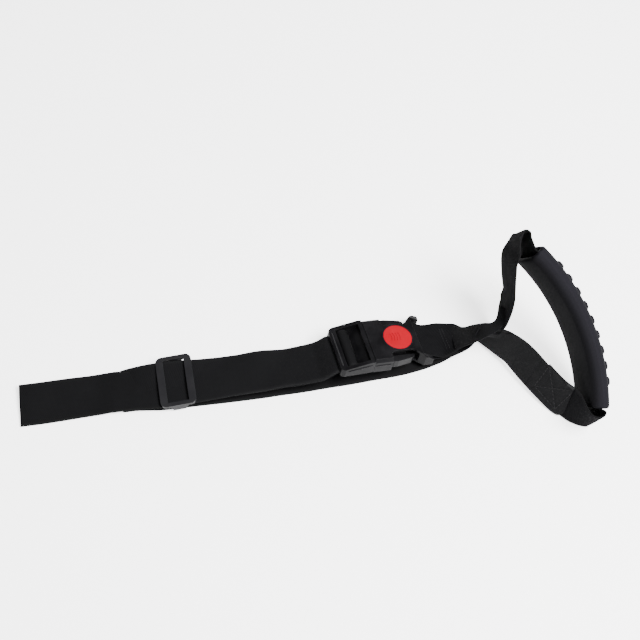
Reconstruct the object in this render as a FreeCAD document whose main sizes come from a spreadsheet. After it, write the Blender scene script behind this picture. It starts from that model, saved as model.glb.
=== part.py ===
import FreeCAD, Part
import math
import os
import Sketcher
from FreeCAD import Placement, Rotation, Vector

# Grab strap: a webbing strap with a curved moulded grip, a centre-button side-release buckle and a
# slider. All sizes in millimetres, angles in degrees. +X runs along the strap towards the grip, +Z is up.

document = FreeCAD.newDocument("grab_strap")
sheet = document.addObject("Spreadsheet::Sheet", "sizes")

driving_sizes = {
    "webbing_width": 38.0,
    "webbing_thick": 1.4,
    "layer_gap": 0.35,
    "webbing_play": 0.8,
    "seat_gap": 0.3,
    # buckle housing
    "buckle_width": 46.0,
    "buckle_height": 14.5,
    "housing_wall": 2.2,
    "housing_chamfer": 2.4,
    "mouth_reach": 26.3,
    "top_reach": 17.5,
    "ear_reach": 27.0,
    "ear_width": 47.4,
    "ear_start": 19.5,
    "ear_drop": 6.0,
    "ear_rise": 2.6,
    "waist_width": 28.0,
    "waist_front": 10.3,
    "waist_back": 10.5,
    "waist_corner": 3.5,
    "rear_wall": 2.4,
    "bar_width": 3.8,
    "bar_height": 3.6,
    "bar_drop": 7.6,
    "bar_edge": 0.9,
    "web_slot": 3.0,
    # release button and its spring
    "button_diameter": 25.6,
    "button_height": 3.4,
    "button_proud": 0.3,
    "button_tab": 1.6,
    "spring_seat": 1.4,
    "spring_diameter": 8.4,
    "spring_wire": 0.8,
    "spring_turns": 5.0,
    "post_height": 2.4,
    # male half
    "frame_length": 25.3,
    "frame_height": 8.2,
    "frame_drop": 8.0,
    "frame_corner": 4.0,
    "collar_length": 3.6,
    "collar_drop": 0.8,
    "end_bar_width": 5.6,
    "end_bar_height": 4.0,
    "adjuster_slot": 3.2,
    "adjuster_width": 5.6,
    "bar_round": 2.2,
    "plug_length": 8.0,
    "prong_length": 25.0,
    "prong_width": 4.0,
    "prong_gap": 12.0,
    "prong_height": 4.5,
    # latch arms
    "arm_height": 8.0,
    "arm_pad_thick": 5.8,
    "arm_reach": 35.5,
    "arm_root_radius": 1.7,
    "arm_edge": 1.2,
    # slider
    "slider_length": 30.5,
    "slider_width": 46.5,
    "slider_bar": 6.2,
    "slider_centre_bar": 6.4,
    "slider_top": 3.4,
    "slider_bottom": 2.2,
    "slider_corner": 5.0,
    # grip
    "grip_width": 42.0,
    "grip_thick": 15.5,
    "grip_radius": 170.0,
    "grip_chord": 139.0,
    "grip_corner": 6.5,
    "grip_slot": 3.2,
    "ridge_count": 9,
    "ridge_pitch": 12.5,
    "ridge_radius": 3.2,
    "ridge_proud": 1.8,
    "ridge_length": 34.0,
    # lay of the strap: where the buckle, slider and grip lie, and how they lean
    "origin_x": -84.6,
    "origin_y": -36.0,
    "buckle_x": -1.7,
    "buckle_y": -4.9,
    "buckle_lift": 23.2,
    "buckle_yaw": 5.5,
    "buckle_pitch": 12.5,
    "buckle_roll": -6.6,
    "slider_place": -193.5,
    "slider_y": -10.6,
    "slider_lift": 7.6,
    "slider_skew": 2.5,
    "strap_yaw": -1.5,
    "strap_pitch": -2.8,
    "strap_roll": 3.0,
    "fold_place": -239.0,
    "tail_end": -327.0,
}

for row, (name, value) in enumerate(driving_sizes.items(), 1):
    sheet.set(f"A{row}", name)
    sheet.set(f"B{row}", str(value))
    sheet.setAlias(f"B{row}", name)
document.recompute()


class Size:
    # a value worked out from the sheet, with the formula that keeps it bound to its cells
    def __init__(self, value, formula):
        self.value = value
        self.formula = formula

    def __add__(self, other):
        return Size(self.value + plain(other), f"({self.formula} + {text(other)})")

    def __radd__(self, other):
        return Size(plain(other) + self.value, f"({text(other)} + {self.formula})")

    def __sub__(self, other):
        return Size(self.value - plain(other), f"({self.formula} - {text(other)})")

    def __rsub__(self, other):
        return Size(plain(other) - self.value, f"({text(other)} - {self.formula})")

    def __mul__(self, other):
        return Size(self.value * plain(other), f"({self.formula} * {text(other)})")

    def __rmul__(self, other):
        return Size(plain(other) * self.value, f"({text(other)} * {self.formula})")

    def __truediv__(self, other):
        return Size(self.value / plain(other), f"({self.formula} / {text(other)})")

    def __neg__(self):
        return Size(-self.value, f"(0 - {self.formula})")


def plain(size):
    return size.value if isinstance(size, Size) else float(size)


def text(size):
    return size.formula if isinstance(size, Size) else f"({float(size)})"


def cell(name):
    return Size(float(driving_sizes[name]), f"sizes.{name}")


def bind(thing, name, size):
    # give a property its value and tie it to the sheet
    thing.setExpression(name, text(size))


def make_body(name):
    body = document.addObject("PartDesign::Body", name)
    body.Label = name
    return body


def attach(body, sketch, role, lift=0):
    plane = [part for part in body.Origin.OriginFeatures if part.Role == role][0]
    sketch.AttachmentSupport = [(plane, "")]
    sketch.MapMode = "FlatFace"
    bind(sketch, ".AttachmentOffset.Base.z", lift)


def outline(body, name, corners, role="XY_Plane", lift=0):
    # a closed outline of straight sides, each corner placed by two dimensions from the origin
    sketch = body.newObject("Sketcher::SketchObject", name)
    attach(body, sketch, role, lift)
    count = len(corners)
    for index, (across, along) in enumerate(corners):
        following = corners[(index + 1) % count]
        sketch.addGeometry(Part.LineSegment(Vector(plain(across), plain(along), 0),
                                            Vector(plain(following[0]), plain(following[1]), 0)))
    for index in range(count):
        sketch.addConstraint(Sketcher.Constraint("Coincident", index, 2, (index + 1) % count, 1))
    for index, (across, along) in enumerate(corners):
        for kind, size in (("DistanceX", across), ("DistanceY", along)):
            number = sketch.addConstraint(Sketcher.Constraint(kind, -1, 1, index, 1, plain(size)))
            bind(sketch, f"Constraints[{number}]", size)
    return sketch


def rectangle(x0, x1, y0, y1):
    return [(x0, y0), (x1, y0), (x1, y1), (x0, y1)]


def ring(body, name, radius, centre=(0, 0), role="XY_Plane", lift=0):
    # a circle, placed by its centre
    sketch = body.newObject("Sketcher::SketchObject", name)
    attach(body, sketch, role, lift)
    across, along = centre
    sketch.addGeometry(Part.Circle(Vector(plain(across), plain(along), 0), Vector(0, 0, 1), plain(radius)))
    for kind, size in (("DistanceX", across), ("DistanceY", along)):
        number = sketch.addConstraint(Sketcher.Constraint(kind, -1, 1, 0, 3, plain(size)))
        bind(sketch, f"Constraints[{number}]", size)
    number = sketch.addConstraint(Sketcher.Constraint("Radius", 0, plain(radius)))
    bind(sketch, f"Constraints[{number}]", radius)
    return sketch


def extrude(body, kind, sketch, length, both_ways=False):
    # a pad rises from its sketch, a pocket sinks below it, or either runs both ways from it
    feature = body.newObject(f"PartDesign::{kind}", sketch.Name + "_" + kind.lower())
    feature.Profile = sketch
    feature.Type = "Length"
    if both_ways:
        feature.SideType = "Symmetric"
    bind(feature, "Length", length)
    sketch.Visibility = False
    return feature


def pad(body, sketch, length, both_ways=False):
    return extrude(body, "Pad", sketch, length, both_ways)


def pocket(body, sketch, length, both_ways=False):
    return extrude(body, "Pocket", sketch, length, both_ways)


def round_edges(body, radius, wanted, kind="Fillet"):
    # round the edges of the body's last feature whose middle and direction are wanted
    document.recompute()
    last = body.Tip
    names = []
    for index, edge in enumerate(last.Shape.Edges, 1):
        middle = edge.valueAt((edge.FirstParameter + edge.LastParameter) / 2)
        tangent = edge.tangentAt((edge.FirstParameter + edge.LastParameter) / 2)
        if wanted(middle, tangent):
            names.append(f"Edge{index}")
    feature = body.newObject(f"PartDesign::{kind}", f"{last.Name}_{kind.lower()}")
    feature.Base = (last, names)
    bind(feature, "Radius" if kind == "Fillet" else "Size", radius)
    return feature


def upright(tangent):
    return abs(tangent.z) > 0.99


# lay of the pieces
webbing_width = cell("webbing_width")
webbing_thick = cell("webbing_thick")
layer_gap = cell("layer_gap")
seat_gap = cell("seat_gap")
layer = webbing_thick + layer_gap
throat = webbing_width / 2 + cell("webbing_play")
shift = Vector(-driving_sizes["origin_x"], -driving_sizes["origin_y"], 0)


def lay(body, x, y, z, yaw, pitch, roll):
    # put a piece where it lies, tied to the sheet
    for axis, size in zip("xyz", (x - cell("origin_x"), y - cell("origin_y"), z)):
        bind(body, f".Placement.Base.{axis}", size)
    body.Placement.Rotation = Rotation(plain(yaw), plain(pitch), plain(roll))


button_place = Vector(driving_sizes["buckle_x"], driving_sizes["buckle_y"], driving_sizes["buckle_lift"])
buckle_turn = Rotation(driving_sizes["buckle_yaw"], driving_sizes["buckle_pitch"], driving_sizes["buckle_roll"])
buckle_lay = Placement(button_place, buckle_turn)


def lay_in_buckle(body):
    lay(body, cell("buckle_x"), cell("buckle_y"), cell("buckle_lift"),
        cell("buckle_yaw"), cell("buckle_pitch"), cell("buckle_roll"))


# female housing: a flat box open at the mouth, waisted where the latch arms show, with ears round its bar
half_buckle = cell("buckle_width") / 2
buckle_height = cell("buckle_height")
housing_wall = cell("housing_wall")
mouth = -cell("mouth_reach")
waist = cell("waist_width") / 2
waist_front = -cell("waist_front")
waist_back = cell("waist_back")
ear_start = cell("ear_start")
ear_half = cell("ear_width") / 2
ear_end = cell("ear_reach")
top_end = cell("top_reach")
cavity_half = half_buckle - housing_wall
cavity_back = top_end - cell("rear_wall")
bar_top = -cell("bar_drop")
bar_front = top_end + cell("web_slot")
bar_back = bar_front + cell("bar_width")
button_hole = cell("button_diameter") / 2

housing = make_body("female_housing")
half_profile = [(mouth, half_buckle), (waist_front, half_buckle), (waist_front, waist), (waist_back, waist),
                (ear_start, half_buckle), (ear_end, ear_half)]
profile = [(x, -y) for x, y in half_profile] + half_profile[::-1]
pad(housing, outline(housing, "housing_outline", profile, lift=-buckle_height), buckle_height)
round_edges(housing, cell("waist_corner"), lambda p, d: upright(d) and abs(abs(p.y) - plain(waist)) < 0.1)
round_edges(housing, cell("housing_chamfer"), lambda p, d: abs(d.x) > 0.9 and abs(p.z) < 0.1
            and abs(p.y) > plain(half_buckle) - 2.5, kind="Chamfer")
pocket(housing, outline(housing, "ear_slope", [(top_end, 0), (top_end, 1), (ear_end + 1, 1),
                                               (ear_end + 1, -cell("ear_drop"))], role="XZ_Plane"),
       cell("ear_width") + 2, both_ways=True)
pocket(housing, outline(housing, "ear_underside",
                        [(waist_back, -buckle_height), (ear_end + 1, cell("ear_rise") - buckle_height),
                         (ear_end + 1, -buckle_height - 1), (waist_back, -buckle_height - 1)], role="XZ_Plane"),
       cell("ear_width") + 2, both_ways=True)
pocket(housing, outline(housing, "housing_cavity", rectangle(mouth - 1, cavity_back, -cavity_half, cavity_half),
                        lift=-housing_wall), buckle_height - 2 * housing_wall)
pocket(housing, ring(housing, "button_hole", button_hole), housing_wall + 1)
pocket(housing, outline(housing, "web_opening", rectangle(top_end, ear_end + 1, -throat, throat), lift=1),
       buckle_height + 2)
pad(housing, outline(housing, "web_bar", rectangle(bar_front, bar_back, -throat - 1, throat + 1),
                     lift=bar_top - cell("bar_height")), cell("bar_height"))
round_edges(housing, cell("bar_edge"), lambda p, d: abs(d.y) > 0.99
            and plain(bar_front) - 0.1 < p.x < plain(bar_back) + 0.1
            and plain(bar_top - cell("bar_height")) - 0.1 < p.z < plain(bar_top) + 0.1)
post_radius = cell("spring_diameter") / 2 - cell("spring_wire") - seat_gap
pad(housing, ring(housing, "spring_post", post_radius, lift=housing_wall - buckle_height), cell("post_height"))
lay_in_buckle(housing)

# male half: a wedge-shaped ladder frame with an end bar and an adjuster bar, a collar, a plug and two prongs
male = make_body("male_half")
collar_back = mouth - seat_gap
collar_front = collar_back - cell("collar_length")
frame_end = collar_front - cell("frame_length")
frame_top = -cell("frame_drop")
frame_bottom = frame_top - cell("frame_height")
end_bar_back = frame_end + cell("end_bar_width")
adjuster_front = end_bar_back + cell("adjuster_slot")
adjuster_back = adjuster_front + cell("adjuster_width")
adjuster_top = frame_top + 0.6
adjuster_bottom = frame_top - cell("end_bar_height") - layer
collar_top = -cell("collar_drop")
collar_bottom = collar_top + 1.2 - buckle_height

pad(male, outline(male, "frame_side", [(collar_back, collar_bottom), (frame_end, frame_bottom),
                                       (frame_end, frame_top), (collar_front, collar_top),
                                       (collar_back, collar_top)], role="XZ_Plane"),
    cell("buckle_width"), both_ways=True)
round_edges(male, cell("frame_corner"), lambda p, d: upright(d) and p.x < plain(frame_end) + 1)
pocket(male, outline(male, "window", rectangle(end_bar_back, collar_front, -throat, throat), lift=1),
       buckle_height + 4)
pocket(male, outline(male, "web_entry", rectangle(frame_end - 1, end_bar_back + 1, -throat, throat),
                     lift=frame_top - cell("end_bar_height")), cell("frame_height"))
pad(male, outline(male, "adjuster_bar", rectangle(adjuster_front, adjuster_back, -throat - 1, throat + 1),
                  lift=adjuster_bottom), adjuster_top - adjuster_bottom)
round_edges(male, cell("bar_round"), lambda p, d: abs(d.y) > 0.99 and p.x > plain(adjuster_front) - 0.1
            and p.x < plain(adjuster_back) + 0.1 and p.z > plain(adjuster_bottom) - 0.1)
hinge_y = cavity_half - seat_gap - cell("arm_root_radius")
hinge_x = collar_back + seat_gap + cell("arm_root_radius")
plug_half = hinge_y - cell("arm_root_radius") - seat_gap
plug_end = collar_back + cell("plug_length")
inside_floor = housing_wall + seat_gap - buckle_height
pad(male, outline(male, "plug", rectangle(collar_back - 1, plug_end, -plug_half, plug_half), lift=inside_floor),
    buckle_height - 2 * housing_wall - 2 * seat_gap)
prong_inner = cell("prong_gap") / 2
prong_outer = prong_inner + cell("prong_width")
prong_end = plug_end + cell("prong_length")
for side, sign in (("left", 1), ("right", -1)):
    pad(male, outline(male, f"prong_{side}",
                      rectangle(plug_end - 1, prong_end, sign * prong_inner, sign * prong_outer),
                      lift=inside_floor + 0.5), cell("prong_height"))
lay_in_buckle(male)


# latch arms: thin springs from the collar that widen into pads in the housing's side gaps
def latch_arm(name, sign):
    arm = make_body(name)
    outer = cavity_half - seat_gap
    inner = outer - 2 * cell("arm_root_radius")
    root = hinge_x - cell("arm_root_radius")
    shoulder = waist_front + seat_gap
    pad_outer = half_buckle - 0.6
    pad_inner = pad_outer - cell("arm_pad_thick")
    tip = hinge_x + cell("arm_reach")
    corners = [(root, outer), (shoulder, outer), (shoulder, pad_outer), (shoulder + 5, pad_outer),
               (tip - 3, pad_outer - 2.2), (tip, pad_inner + 1.6), (tip, pad_inner), (shoulder - 4, pad_inner),
               (shoulder - 8, inner), (root, inner)]
    corners = [(x, sign * y) for x, y in corners]
    bottom = inside_floor + 0.5
    pad(arm, outline(arm, f"{name}_outline", corners, lift=bottom), cell("arm_height"))
    round_edges(arm, cell("arm_root_radius") * 0.95, lambda p, d: upright(d) and p.x < plain(hinge_x))
    round_edges(arm, cell("arm_edge"), lambda p, d: upright(d) and p.x > plain(shoulder) - 1
                and (abs(p.y) > plain(pad_outer) - 0.1 or p.x > plain(tip) - 3.5)
                and abs(p.y) > plain(pad_inner) + 0.5)
    lay_in_buckle(arm)
    return arm


latch_arm("latch_arm_left", 1)
latch_arm("latch_arm_right", -1)

# release button: a round cap held under the housing's top by two tabs, with curved grip ridges
button = make_body("release_button")
button_radius = button_hole - seat_gap
button_top = cell("button_proud")
button_bottom = button_top - cell("button_height")
pad(button, ring(button, "cap", button_radius, lift=button_bottom), cell("button_height"))
tab_top = -housing_wall - seat_gap
pad(button, outline(button, "tabs", rectangle(-button_hole - cell("button_tab"), button_hole + cell("button_tab"),
                                              -4, 4), lift=button_bottom), tab_top - button_bottom)
pocket(button, ring(button, "spring_seat", cell("spring_diameter") / 2 + seat_gap, lift=button_bottom + cell("spring_seat")),
       cell("spring_seat") + 1)
lay_in_buckle(button)


def checked(shape, name):
    if shape.isNull() or not shape.isValid():
        raise RuntimeError(f"{name} is not a valid solid")
    return shape


def add_shape(name, shape, placement=Placement()):
    thing = document.addObject("Part::Feature", name)
    thing.Label = name
    thing.Shape = checked(shape, name)
    thing.Placement = placement
    return thing


# button spring: a steel coil round the housing's post, up into the cap
spring_floor = plain(housing_wall - buckle_height) + driving_sizes["spring_wire"] / 2
spring_ceiling = plain(button_bottom + cell("spring_seat")) - driving_sizes["spring_wire"] / 2
coil_radius = (driving_sizes["spring_diameter"] - driving_sizes["spring_wire"]) / 2
coil_height = spring_ceiling - spring_floor
coil = Part.makeHelix(coil_height / driving_sizes["spring_turns"], coil_height, coil_radius)
coil.translate(Vector(0, 0, spring_floor))
wire_end = Part.Wire(Part.makeCircle(driving_sizes["spring_wire"] / 2, Vector(coil_radius, 0, spring_floor),
                                     Vector(0, 1, 0)))
spring_shape = Part.Wire(coil.Edges).makePipeShell([wire_end], True, True)
button_lay = Placement(button_place + shift, buckle_turn)
add_shape("button_spring", spring_shape, button_lay)

# slider: two top bars and a lower centre bar between side rails, so both layers of webbing run through
slider = make_body("slider")
pass_half = layer + seat_gap - layer_gap / 2
slider_half = cell("slider_length") / 2
slider_side = cell("slider_width") / 2
window_half = slider_half - cell("slider_bar")
rail_top = pass_half + cell("slider_top")
rail_bottom = -pass_half - cell("slider_bottom")
pad(slider, outline(slider, "slider_outline",
                    rectangle(-slider_half, slider_half, -slider_side, slider_side), lift=rail_bottom),
    rail_top - rail_bottom)
round_edges(slider, cell("slider_corner"), lambda p, d: upright(d))
for side, sign in (("near_tail", -1), ("near_buckle", 1)):
    foot = cell("slider_centre_bar") / 2 + 1.5
    pocket(slider, outline(slider, f"bevel_{side}",
                           [(sign * (slider_half + 1), rail_bottom - 1), (sign * foot, rail_bottom - 1),
                            (sign * (foot + 3), pass_half), (sign * (slider_half + 1), pass_half)],
                           role="XZ_Plane"), cell("slider_width") + 2, both_ways=True)
pocket(slider, outline(slider, "strap_way", rectangle(-slider_half - 1, slider_half + 1, -throat, throat),
                       lift=pass_half), 2 * pass_half)
pocket(slider, outline(slider, "slider_window", rectangle(-window_half, window_half, -throat, throat),
                       lift=rail_top + 1), rail_top + 1)
for side, sign in (("near_tail", -1), ("near_buckle", 1)):
    pocket(slider, outline(slider, f"gap_{side}",
                           rectangle(sign * cell("slider_centre_bar") / 2, sign * (slider_half + 1),
                                     -throat, throat), lift=-pass_half + 0.1),
           cell("slider_bottom") + 2)
slider_centre = Vector(driving_sizes["slider_place"], driving_sizes["slider_y"], driving_sizes["slider_lift"])
lay(slider, cell("slider_place"), cell("slider_y"), cell("slider_lift"),
    cell("strap_yaw") + cell("slider_skew"), cell("strap_pitch"), cell("strap_roll"))
strap_turn = Rotation(driving_sizes["strap_yaw"], driving_sizes["strap_pitch"], driving_sizes["strap_roll"])
slider_lay = Placement(slider_centre, strap_turn)

# grip: a curved bar of rounded section, slotted for the webbing, its inner wall cut back at both mouths
grip = make_body("grip")
grip_radius = cell("grip_radius")
half_angle = math.degrees(math.asin(driving_sizes["grip_chord"] / 2 / driving_sizes["grip_radius"]))
grip_half = cell("grip_width") / 2
grip_deep = cell("grip_thick") / 2
section = outline(grip, "grip_section",
                  rectangle(grip_radius - grip_deep, grip_radius + grip_deep, -grip_half, grip_half),
                  role="XZ_Plane")
turned = grip.newObject("PartDesign::Revolution", "grip_bar")
turned.Profile = section
turned.ReferenceAxis = (section, ["V_Axis"])
turned.Midplane = True
bind(turned, "Angle", Size(0, "(2 * asin(sizes.grip_chord / 2 / sizes.grip_radius))"))
round_edges(grip, cell("grip_corner"), lambda p, d: abs(abs(p.z) - grip_half.value) < 0.1
            and abs(p.y) < 30)
ridge_distance = grip_radius + grip_deep + cell("ridge_proud") - cell("ridge_radius")
half_spread = Size(math.degrees((driving_sizes["ridge_count"] - 1) / 2 * driving_sizes["ridge_pitch"]
                                / driving_sizes["grip_radius"]),
                   "((sizes.ridge_count - 1) / 2 * sizes.ridge_pitch / sizes.grip_radius * 180 / pi)")
spread_cos = Size(math.cos(math.radians(half_spread.value)), f"cos({half_spread.formula} * 1 deg)")
spread_sin = Size(math.sin(math.radians(half_spread.value)), f"sin({half_spread.formula} * 1 deg)")
ridge = pad(grip, ring(grip, "ridge", cell("ridge_radius"),
                       centre=(ridge_distance * spread_cos, -ridge_distance * spread_sin)),
            cell("ridge_length"), both_ways=True)
ridges = grip.newObject("PartDesign::PolarPattern", "ridges")
ridges.Originals = [ridge]
ridges.Axis = ([part for part in grip.Origin.OriginFeatures if part.Role == "Z_Axis"][0], [""])
bind(ridges, "Angle", 2 * half_spread)
bind(ridges, "Occurrences", cell("ridge_count"))
grip.Tip = ridges
slot_sketch = outline(grip, "slot_section",
                      rectangle(grip_radius - cell("grip_slot") / 2, grip_radius + cell("grip_slot") / 2,
                                -throat, throat), role="XZ_Plane")
slot = grip.newObject("PartDesign::Groove", "webbing_slot")
slot.Profile = slot_sketch
slot.ReferenceAxis = (slot_sketch, ["V_Axis"])
slot.Midplane = True
slot.Angle = 120

chord_bottom = Vector(144.8, -96.0, 23.5)
chord_along = Vector(-37.3, 112.2, 74.0).normalize()
grip_across = Vector(0.15, -0.500, 0.850)
grip_across = (grip_across - chord_along * grip_across.dot(chord_along)).normalize()
grip_out = chord_along.cross(grip_across).normalize()
chord_half = driving_sizes["grip_chord"] / 2
grip_centre = (chord_bottom + chord_along * chord_half
               - grip_out * math.sqrt(driving_sizes["grip_radius"] ** 2 - chord_half ** 2))
grip_turn = Rotation(grip_out, chord_along, grip_across, "ZXY")
grip_lay = Placement(grip_centre, grip_turn)
grip.Placement = Placement(grip_centre + shift, grip_turn)


# webbing: ribbons of constant width, each station a point of its middle and the way its width points
def smooth(points, spacing=7.0):
    # a smooth line through a few points, as evenly spaced points
    curve = Part.BSplineCurve()
    curve.interpolate(points)
    steps = max(2, round(curve.length() / spacing))
    return [curve.value(curve.parameterAtDistance(curve.length() * step / steps)) for step in range(steps + 1)]


def way_on(stations, index):
    # the sum of the directions into and out of a station: 2 long on a straight, shorter in a bend
    way = Vector(0, 0, 0)
    point = stations[index][0]
    if index > 0:
        way += (point - stations[index - 1][0]).normalize()
    if index < len(stations) - 1:
        way += (stations[index + 1][0] - point).normalize()
    return way


def squared(stations):
    # turn each width direction square to the line at its station
    result = []
    for index, (point, across) in enumerate(stations):
        ahead = way_on(stations, index).normalize()
        result.append((point, (across - ahead * across.dot(ahead)).normalize()))
    return result


def turn_between(directions, fraction):
    # the direction at a share of the way through a list of directions
    place = fraction * (len(directions) - 1)
    index = min(int(place), len(directions) - 2)
    share = place - index
    return directions[index] * (1 - share) + directions[index + 1] * share


def run(points, widths, spacing=7.0):
    line = smooth(points, spacing)
    return squared([(point, turn_between(widths, index / (len(line) - 1))) for index, point in enumerate(line)])


def route(knots, spacing=5.0):
    # a smooth line through (point, width direction) pairs, its width turning evenly from knot to knot
    points = [point for point, across in knots]
    marks = [0.0]
    for near, far in zip(points, points[1:]):
        marks.append(marks[-1] + (far - near).Length)
    stations = []
    line = smooth(points, spacing)
    for index, point in enumerate(line):
        place = marks[-1] * index / (len(line) - 1)
        after = min(max(1, sum(mark < place for mark in marks)), len(marks) - 1)
        share = (place - marks[after - 1]) / (marks[after] - marks[after - 1])
        stations.append((point, knots[after - 1][1] * (1 - share) + knots[after][1] * share))
    return squared(stations)


def bend(placement, centre, radius, start, sweep, steps, across=Vector(0, 1, 0)):
    # an arc of webbing round a bar, in the bar's own frame, seen along its width
    stations = []
    for step in range(steps + 1):
        angle = math.radians(start + sweep * step / steps)
        local = Vector(centre[0] + radius * math.cos(angle), 0, centre[1] + radius * math.sin(angle))
        stations.append((placement.multVec(local), placement.Rotation.multVec(across)))
    return stations


def at(placement, x, z, across=Vector(0, 1, 0)):
    return (placement.multVec(Vector(x, 0, z)), placement.Rotation.multVec(across))


def patch(a, b, c, d):
    # a four-cornered patch: one flat face where its corners lie in a plane, two triangles where they don't
    if abs((b - a).cross(c - a).normalize().dot(d - a)) < 1e-6:
        return [Part.Face(Part.makePolygon([a, b, c, d, a]))]
    if min(a.x, c.x) > min(b.x, d.x):
        a, b, c, d = b, c, d, a
    return [Part.Face(Part.makePolygon([a, b, c, a])), Part.Face(Part.makePolygon([a, c, d, a]))]


def ribbon(stations, width, thick):
    # rectangles set square to the line, joined by patches along their four edges
    rings = []
    for index, (point, across) in enumerate(stations):
        ahead = way_on(stations, index)
        stretch = max(ahead.Length / 2, 0.5) if 0 < index < len(stations) - 1 else 1.0
        side = Vector(across).normalize() * (width / 2)
        up = ahead.normalize().cross(side).normalize() * (thick / 2 / stretch)
        rings.append([corner + shift for corner in (point + side + up, point - side + up,
                                                    point - side - up, point + side - up)])
    faces = patch(*rings[0]) + patch(*rings[-1])
    for near, far in zip(rings, rings[1:]):
        for index in range(4):
            following = (index + 1) % 4
            faces += patch(near[index], near[following], far[following], far[index])
    shell = Part.makeShell(faces)
    shell.sewShape()
    solid = Part.makeSolid(shell)
    if solid.Volume < 0:
        solid.reverse()
    print("webbing length", round(sum((far[0] - near[0]).Length for near, far in zip(stations, stations[1:]))))
    return solid


web = driving_sizes["webbing_thick"]
step_up = plain(layer)
flat = Vector(0, 1, 0)


def layered(stations, offset):
    # the same line moved off its face by a number of millimetres
    moved = []
    for index, (point, across) in enumerate(stations):
        ahead = stations[min(index + 1, len(stations) - 1)][0] - stations[max(index - 1, 0)][0]
        moved.append((point + ahead.cross(across).normalize() * offset, across))
    return moved


# the band from the buckle's bar to the junction, twisting until it stands on its far edge
bar_web_top = plain(bar_top) + plain(seat_gap) + web / 2
bar_web_low = plain(bar_top - cell("bar_height")) - plain(seat_gap) - web / 2
buckle_across = buckle_turn.multVec(flat)
band_lean = [Vector(-0.02, 0.995, -0.08), Vector(-0.10, 0.91, -0.38), Vector(-0.2, 0.76, -0.62),
             Vector(-0.36, 0.46, -0.81)]
band_points = [Vector(36.8, -5.0, 7.8), Vector(50.7, -5.6, 10.2), Vector(64.3, -7.2, 14.4), Vector(75.5, -10.4, 18.6)]
band = run(band_points, band_lean)
leg_lean = [Vector(-0.38, 0.28, -0.88), Vector(-0.39, 0.10, -0.91), Vector(-0.38, 0.04, -0.92),
            Vector(-0.36, 0.0, -0.93)]
leg_points = [Vector(88.2, -23.0, 20.6), Vector(98.5, -37.6, 21.4), Vector(107.1, -54.6, 21.6),
              Vector(117.2, -72.8, 20.4), Vector(126.7, -84.6, 19.0)]
leg = run(leg_points, leg_lean)

# main strap: down the lower leg, under the buckle along the floor, round the fold, up through the male half,
# over its adjuster bar and back on top of itself, through the slider to its free end
floor_web = web / 2
strap_leg = layered([(point, across) for point, across in leg[::-1]], step_up)
strap_band = layered(band[::-1], step_up + 0.8)[:-1]
under = run([strap_band[-1][0], Vector(34.0, -6.6, 3.4), Vector(20.0, -8.6, 1.75), Vector(4.0, -10.6, floor_web)],
            [strap_band[-1][1], Vector(-0.02, 0.99, -0.08), flat, flat])[1:]
fold_x = driving_sizes["fold_place"]
floor_y = -12.6
on_floor = [(Vector(-30.0, floor_y, floor_web), flat), (Vector(fold_x + 40, floor_y, floor_web), flat)]

slider_across = strap_turn.multVec(flat)


def on_slider(x, z):
    return (slider_lay.multVec(Vector(x, 0, z)), slider_across)


# the two layers between the fold and the male half share one middle line
entry_low = plain(frame_top - cell("end_bar_height") - seat_gap) - step_up - web / 2
entry_middle = entry_low + step_up / 2
fold_local = (fold_x - slider_centre.x) / math.cos(math.radians(driving_sizes["strap_pitch"]))
straight_end = 58.0
middle = [on_slider(fold_local, 0), on_slider(straight_end, 0)]
middle += run([middle[-1][0], slider_lay.multVec(Vector(straight_end + 22, 0, 0.0)), Vector(-96.0, -14.2, 12.0),
               Vector(-80.0, -14.6, 14.4), Vector(-69.0, -14.2, 17.6),
               buckle_lay.multVec(Vector(plain(frame_end) - 1.5, 0, entry_middle - 0.2)),
               buckle_lay.multVec(Vector(plain(frame_end) + 1.0, 0, entry_middle)),
               buckle_lay.multVec(Vector(plain(end_bar_back), 0, entry_middle))],
              [slider_across, slider_across, buckle_across, buckle_across, buckle_across, buckle_across])[1:]
front_run = layered(middle, -step_up / 2)
tail_run = layered(middle[::-1], -step_up / 2)

fold_top = front_run[0][0]
fold_bottom = Vector(fold_top.x, fold_top.y, floor_web)
on_floor += run([on_floor[-1][0], Vector(fold_x + 30, floor_y + 0.4, floor_web),
                 fold_bottom + Vector(12, -0.6, 0), fold_bottom], [flat, flat], 10.0)[1:]
fold_stations = []
for step in range(1, 6):
    angle = math.radians(-90 - 30 * step)
    share = step / 6
    centre = (fold_top + fold_bottom) * 0.5
    radius = (fold_top.z - fold_bottom.z) / 2
    fold_stations.append((Vector(centre.x + radius * math.cos(angle),
                                 fold_bottom.y + (fold_top.y - fold_bottom.y) * share,
                                 centre.z + radius * math.sin(angle)),
                          flat * (1 - share) + slider_across * share))

bar_gap = plain(seat_gap) + web / 2
round_bar = driving_sizes["bar_round"]
corner = round_bar + bar_gap
low_z, high_z = plain(adjuster_bottom), plain(adjuster_top)
right_x, left_x = plain(adjuster_back), plain(adjuster_front)
wrap = bend(buckle_lay, (right_x - round_bar, low_z + round_bar), corner, -90, 90, 3)
wrap += bend(buckle_lay, (right_x - round_bar, high_z - round_bar), corner, 0, 90, 3)
wrap += bend(buckle_lay, (left_x + round_bar, high_z - round_bar), corner, 90, 75, 3)
wrap += bend(buckle_lay, (plain(end_bar_back), plain(frame_top - cell("end_bar_height"))), bar_gap, -15, -60, 2)

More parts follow.
